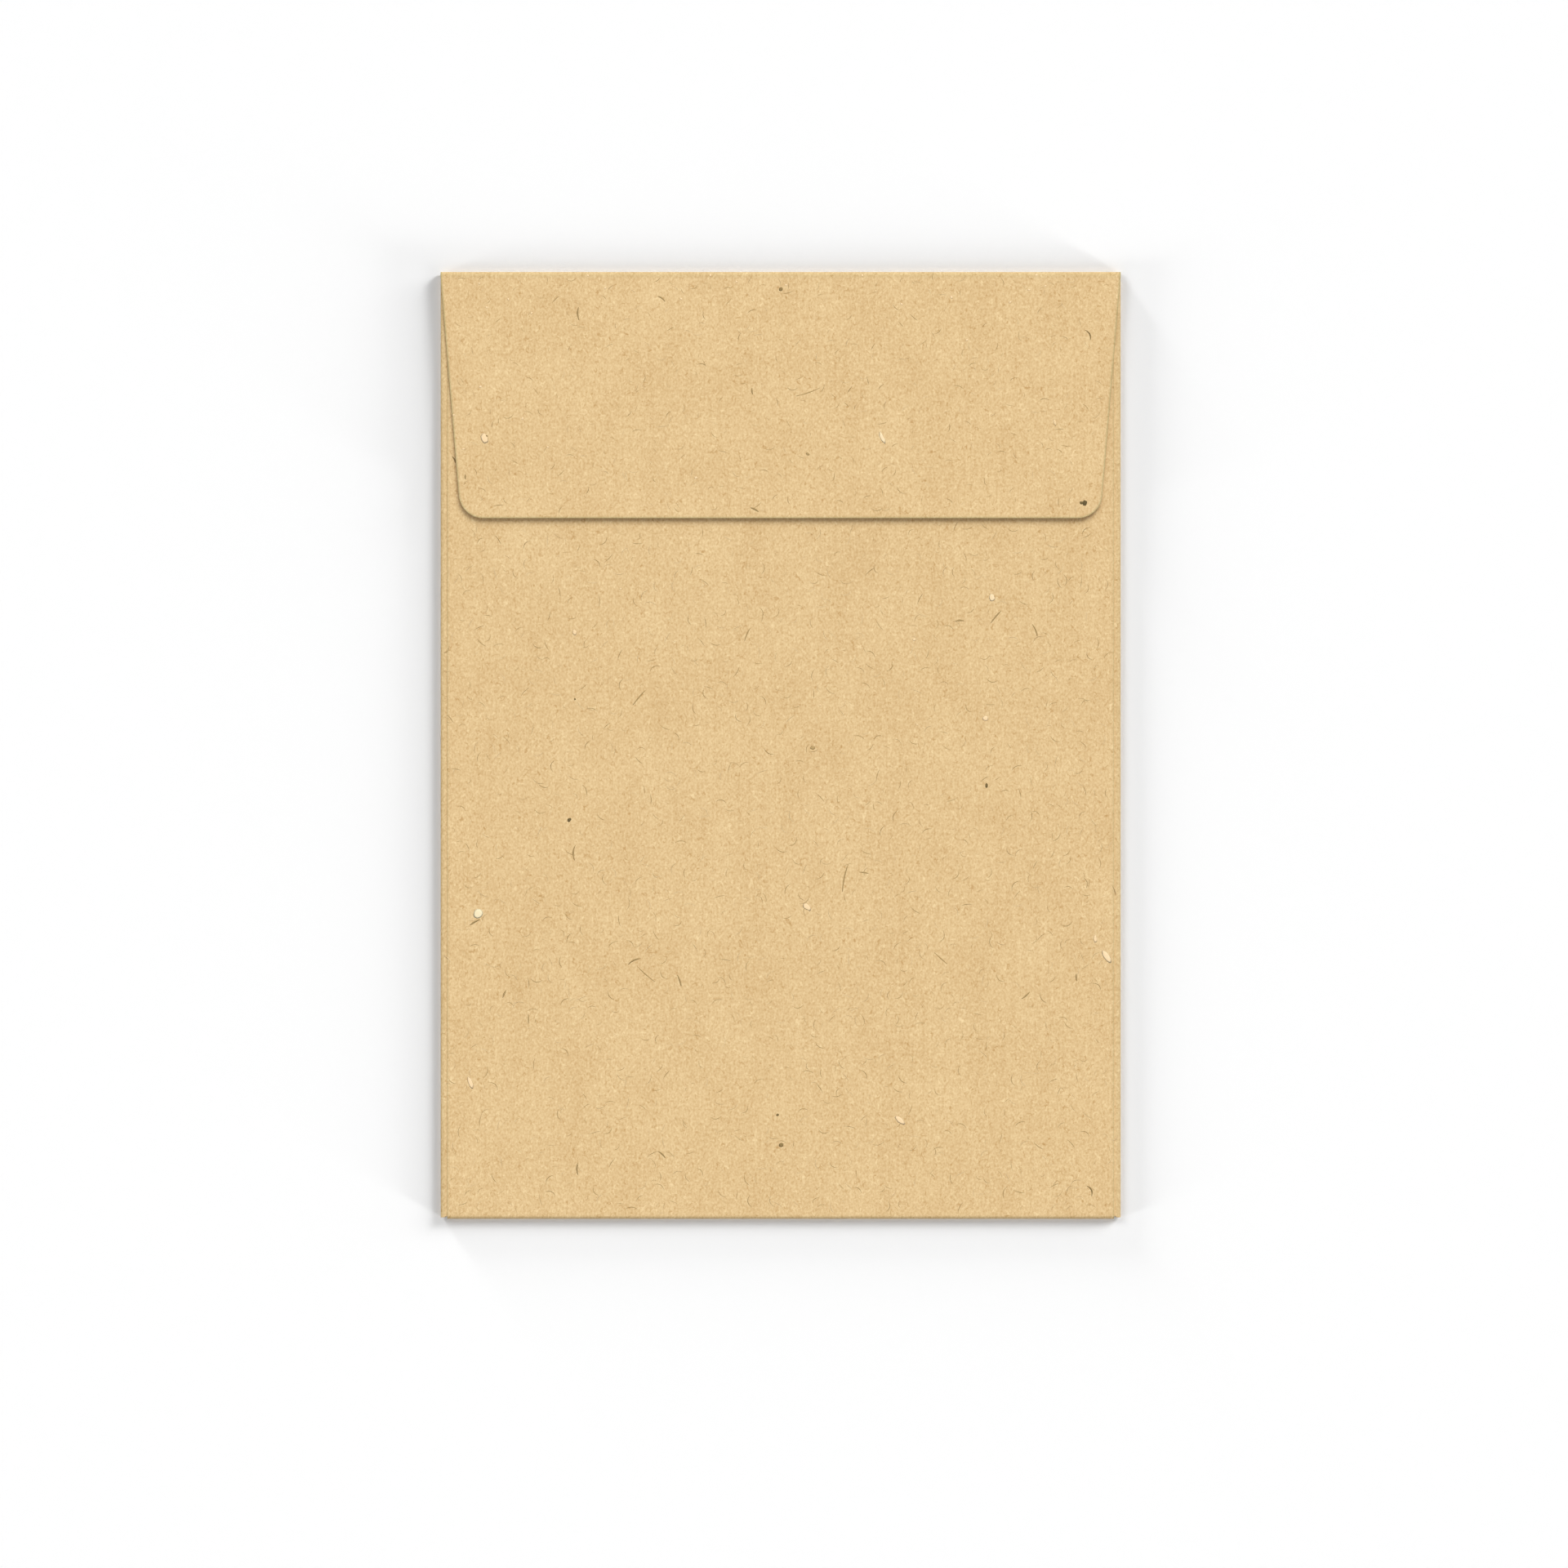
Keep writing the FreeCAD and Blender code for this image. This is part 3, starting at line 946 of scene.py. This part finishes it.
# Single fibres. Bend is how far the middle stands off the line between the ends, as a share of
# the length, and is positive to the left of the way that the fibre runs.
curvedFibres = [
    {"x": 708, "y": 384, "long": 16, "wide": 1.9, "turn": 92, "bend": 0.09, "tone": 0.40},
    {"x": 810, "y": 365.5, "long": 11, "wide": 2.0, "turn": -36, "bend": 0.12, "tone": 0.42},
    {"x": 1333, "y": 410, "long": 14, "wide": 1.8, "turn": -64, "bend": 0.20, "tone": 0.26},
    {"x": 989.5, "y": 480.5, "long": 31, "wide": 1.3, "turn": 19, "bend": -0.03, "tone": 0.48},
    {"x": 556, "y": 562.5, "long": 9, "wide": 1.8, "turn": -62, "bend": 0.10, "tone": 0.32},
    {"x": 570, "y": 584, "long": 6, "wide": 2.0, "turn": 88, "bend": 0.05, "tone": 0.42},
    {"x": 924, "y": 624, "long": 11, "wide": 2.3, "turn": -27, "bend": 0.06, "tone": 0.39},
    {"x": 921, "y": 479, "long": 8, "wide": 1.8, "turn": 96, "bend": 0.06, "tone": 0.42},
    {"x": 1219.5, "y": 755, "long": 20, "wide": 1.7, "turn": 50, "bend": 0.03, "tone": 0.43},
    {"x": 1175, "y": 760, "long": 11, "wide": 2.0, "turn": 3, "bend": 0.10, "tone": 0.44},
    {"x": 1267.5, "y": 771.5, "long": 16, "wide": 1.7, "turn": -67, "bend": 0.07, "tone": 0.43},
    {"x": 782.5, "y": 854, "long": 24, "wide": 1.5, "turn": 50, "bend": 0.02, "tone": 0.46},
    {"x": 915, "y": 776.5, "long": 18, "wide": 1.4, "turn": 66, "bend": 0.05, "tone": 0.47},
    {"x": 703, "y": 1044, "long": 19, "wide": 1.8, "turn": 87, "bend": 0.12, "tone": 0.42},
    {"x": 581.5, "y": 1129, "long": 14, "wide": 2.1, "turn": 30, "bend": 0.03, "tone": 0.38},
    {"x": 1034.5, "y": 1074.5, "long": 35, "wide": 1.6, "turn": 78, "bend": 0.04, "tone": 0.45},
    {"x": 1058, "y": 1068.5, "long": 11, "wide": 1.6, "turn": -8, "bend": 0.03, "tone": 0.44},
    {"x": 776.5, "y": 1176.5, "long": 17, "wide": 2.0, "turn": 26, "bend": 0.11, "tone": 0.40},
    {"x": 791, "y": 1193, "long": 28, "wide": 1.3, "turn": -41, "bend": -0.02, "tone": 0.47},
    {"x": 832, "y": 1200.5, "long": 15, "wide": 1.9, "turn": -71, "bend": 0.04, "tone": 0.40},
    {"x": 617.5, "y": 1217, "long": 10, "wide": 1.9, "turn": 66, "bend": 0.05, "tone": 0.42},
    {"x": 647, "y": 1247.5, "long": 12, "wide": 1.4, "turn": 91, "bend": -0.03, "tone": 0.45},
    {"x": 1318, "y": 1196.5, "long": 9, "wide": 1.8, "turn": 94, "bend": 0.05, "tone": 0.41},
    {"x": 1256, "y": 1219, "long": 13, "wide": 1.8, "turn": 41, "bend": -0.04, "tone": 0.43},
    {"x": 1152, "y": 1173.5, "long": 21, "wide": 1.3, "turn": -42, "bend": 0.00, "tone": 0.46},
    {"x": 810.5, "y": 1413.5, "long": 12, "wide": 2.0, "turn": -43, "bend": 0.08, "tone": 0.39},
    {"x": 707, "y": 1431, "long": 15, "wide": 1.8, "turn": 90, "bend": 0.09, "tone": 0.38},
    {"x": 1335, "y": 1457.5, "long": 14, "wide": 1.8, "turn": -64, "bend": 0.22, "tone": 0.26},
]

# How the marks are built, in shares of their own sizes where no millimetres are given
markShape = {
    "seed": 12,
    "highest": 0.03 * mm,
    "rayStart": 20 * mm,
    "strokeRings": 7,
    "strokeTip": 0.12,  # where on a half wave of sine the tapered ends lie
    "strokeThinnest": 0.25,
    "strokeRise": 0.35,
    "speckSides": 12,
    "speckRise": 0.12,
    "speckProfile": ((0.0, 1.0), (0.6, 0.8), (1.0, 0.0), (0.6, -0.8), (0.0, -1.0)),
    "speckOutline": (0.82, 1.15),
    "sparkOutline": (0.7, 1.2),
    "sparkLong": (3.0, 4.6),  # in the photograph's pixels
    "sparkWide": (2.0, 3.0),  # in the same
    "sparkTone": 0.92,
}


def photoPlace(x, y):
    return (x - photo["centreX"]) / photo["perMm"] * mm, (photo["centreY"] - y) / photo["perMm"] * mm


def surfaceAt(paper, x, y):
    # level of the paper's upper face here
    found, spot, _, _ = paper.ray_cast(Vector((x, y, markShape["rayStart"])), Vector((0, 0, -1)))
    return spot.z if found else levels["backPanel"]


def addStroke(form, toneLayer, paper, centre, long, wide, turn, bend, tone):
    # a bent, tapered, half sunk stroke: a row of four-sided rings closed at its ends
    turned = math.radians(turn)
    forward = (math.cos(turned), math.sin(turned))
    aside = (-forward[1], forward[0])
    tip = markShape["strokeTip"]
    count = markShape["strokeRings"]
    rows = []
    for ring in range(count):
        share = ring / (count - 1)
        along = (share - 0.5) * long
        shift = bend * long * (4 * share * (1 - share) - 0.5)
        taper = math.sin(math.pi * (tip + (1 - 2 * tip) * share))
        half = wide / 2 * max(markShape["strokeThinnest"], taper)
        x = centre[0] + forward[0] * along + aside[0] * shift
        y = centre[1] + forward[1] * along + aside[1] * shift
        level = surfaceAt(paper, x, y)
        thick = min(half * markShape["strokeRise"], markShape["highest"])
        corners = ((half, 0), (0, thick), (-half, 0), (0, -thick))
        row = []
        for side, rise in corners:
            vert = form.verts.new((x + aside[0] * side, y + aside[1] * side, level + rise))
            vert[toneLayer] = tone
            row.append(vert)
        rows.append(row)
    for first, second in zip(rows, rows[1:]):
        for side in range(4):
            other = (side + 1) % 4
            form.faces.new((first[side], first[other], second[other], second[side]))
    form.faces.new(rows[0][::-1])
    form.faces.new(rows[-1])


def addSpeck(form, toneLayer, paper, centre, long, wide, turn, tone, wobble):
    # a low lump with an uneven outline, half sunk in the paper and following its slope
    turned = math.radians(turn)
    sides = markShape["speckSides"]
    thick = min(wide * markShape["speckRise"], markShape["highest"])
    rings = []
    for size, rise in markShape["speckProfile"]:
        count = 1 if size == 0 else sides
        ring = []
        for step in range(count):
            angle = 2 * math.pi * step / sides
            along = long / 2 * size * math.cos(angle) * wobble[step]
            across = wide / 2 * size * math.sin(angle) * wobble[step]
            x = centre[0] + along * math.cos(turned) - across * math.sin(turned)
            y = centre[1] + along * math.sin(turned) + across * math.cos(turned)
            vert = form.verts.new((x, y, surfaceAt(paper, x, y) + thick * rise))
            vert[toneLayer] = tone
            ring.append(vert)
        rings.append(ring)
    for first, second in zip(rings, rings[1:]):
        for step in range(sides):
            other = (step + 1) % sides
            corners = [
                first[step % len(first)],
                second[step % len(second)],
                second[other % len(second)],
                first[other % len(first)],
            ]
            form.faces.new(list(dict.fromkeys(corners)))


def unevenOutline(chance, limits):
    return [chance.uniform(*limits) for _ in range(markShape["speckSides"])]


def makeMarks(paper, markMaterial):
    chance = random.Random(markShape["seed"])
    pixel = mm / photo["perMm"]
    form = bmesh.new()
    toneLayer = form.verts.layers.float.new("tone")
    for mark in specks:
        wobble = unevenOutline(chance, markShape["speckOutline"])
        addSpeck(form, toneLayer, paper, photoPlace(mark["x"], mark["y"]), mark["long"] * pixel,
                 mark["wide"] * pixel, mark["turn"], mark["tone"], wobble)
    for mark in sparks:
        wobble = unevenOutline(chance, markShape["sparkOutline"])
        long = chance.uniform(*markShape["sparkLong"]) * pixel
        wide = chance.uniform(*markShape["sparkWide"]) * pixel
        addSpeck(form, toneLayer, paper, photoPlace(mark["x"], mark["y"]), long, wide,
                 chance.uniform(0, 180), markShape["sparkTone"], wobble)
    for mark in curvedFibres:
        addStroke(form, toneLayer, paper, photoPlace(mark["x"], mark["y"]), mark["long"] * pixel,
                  mark["wide"] * pixel, mark["turn"], mark["bend"], mark["tone"])
    bmesh.ops.recalc_face_normals(form, faces=form.faces)
    mesh = bpy.data.meshes.new("fibre_marks")
    form.to_mesh(mesh)
    form.free()
    mesh.polygons.foreach_set("use_smooth", [True] * len(mesh.polygons))
    mesh.materials.append(markMaterial)
    marks = bpy.data.objects.new("fibre_marks", mesh)
    bpy.context.scene.collection.objects.link(marks)
    print("marks:", len(mesh.polygons), "faces")
    return marks


# Fibre colours by tone, from scorched through the paper's own to bleached
fibreTones = {
    0.0: (0.110, 0.085, 0.036),
    0.25: (0.270, 0.180, 0.066),
    0.5: (0.560, 0.385, 0.168),
    0.62: (0.860, 0.640, 0.350),
    0.8: (0.950, 0.705, 0.400),
    0.93: (0.985, 0.735, 0.435),
    1.0: (0.970, 0.850, 0.560),
}
fibreMottle = {"scale": 4000, "share": 0.12}


def makeFibreMaterial():
    material = bpy.data.materials.new("kraftFibre")
    material.use_nodes = True
    tree = material.node_tree
    surface = tree.nodes["Principled BSDF"]
    tone = addNode(tree, "ShaderNodeAttribute", attribute_name="tone")
    spot = addNode(tree, "ShaderNodeTexCoord").outputs["Object"]
    mottle = addNode(tree, "ShaderNodeTexNoise")
    feed(tree, mottle.inputs["Vector"], spot)
    mottle.inputs["Scale"].default_value = fibreMottle["scale"]
    swing = calc(tree, "SUBTRACT", mottle.outputs[0], 0.5)
    uneven = calc(tree, "MULTIPLY", swing, fibreMottle["share"])
    ramp = addNode(tree, "ShaderNodeValToRGB")
    stops = ramp.color_ramp.elements
    for place, colour in fibreTones.items():
        if place == 0.0:
            stop = stops[0]
        elif place == 1.0:
            stop = stops[-1]
        else:
            stop = stops.new(place)
        stop.color = (*colour, 1)
    feed(tree, ramp.inputs[0], calc(tree, "ADD", tone.outputs["Fac"], uneven))
    feedAll(tree, surface, {
        "Base Color": ramp.outputs[0],
        "Roughness": kraft["roughness"],
        "Specular IOR Level": kraft["shine"],
    })
    return material


makeRoom()
floor = makeFloor()
litFloor = bpy.data.collections.new("litFloor")
litFloor.objects.link(floor)
litSheet = bpy.data.collections.new("litSheet")
kraftPaper = makeKraft()
fibreMaterial = makeFibreMaterial()
folded = makeSheet(kraftPaper)
looseFibres = makeFibres(folded, fibreMaterial)
bpy.context.view_layer.update()
marks = makeMarks(folded, fibreMaterial)
for piece in (folded, looseFibres, marks):
    litSheet.objects.link(piece)
for lampName, lampSizes in sheetLamps.items():
    makeLamp(lampName, lit=litSheet, **lampSizes)
for lampName, lampSizes in floorLamps.items():
    makeLamp(lampName, lit=litFloor, **lampSizes)
print("camera, light and floor are in")
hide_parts("envelope")
for piece in (folded, looseFibres, marks):
    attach(piece, "root")
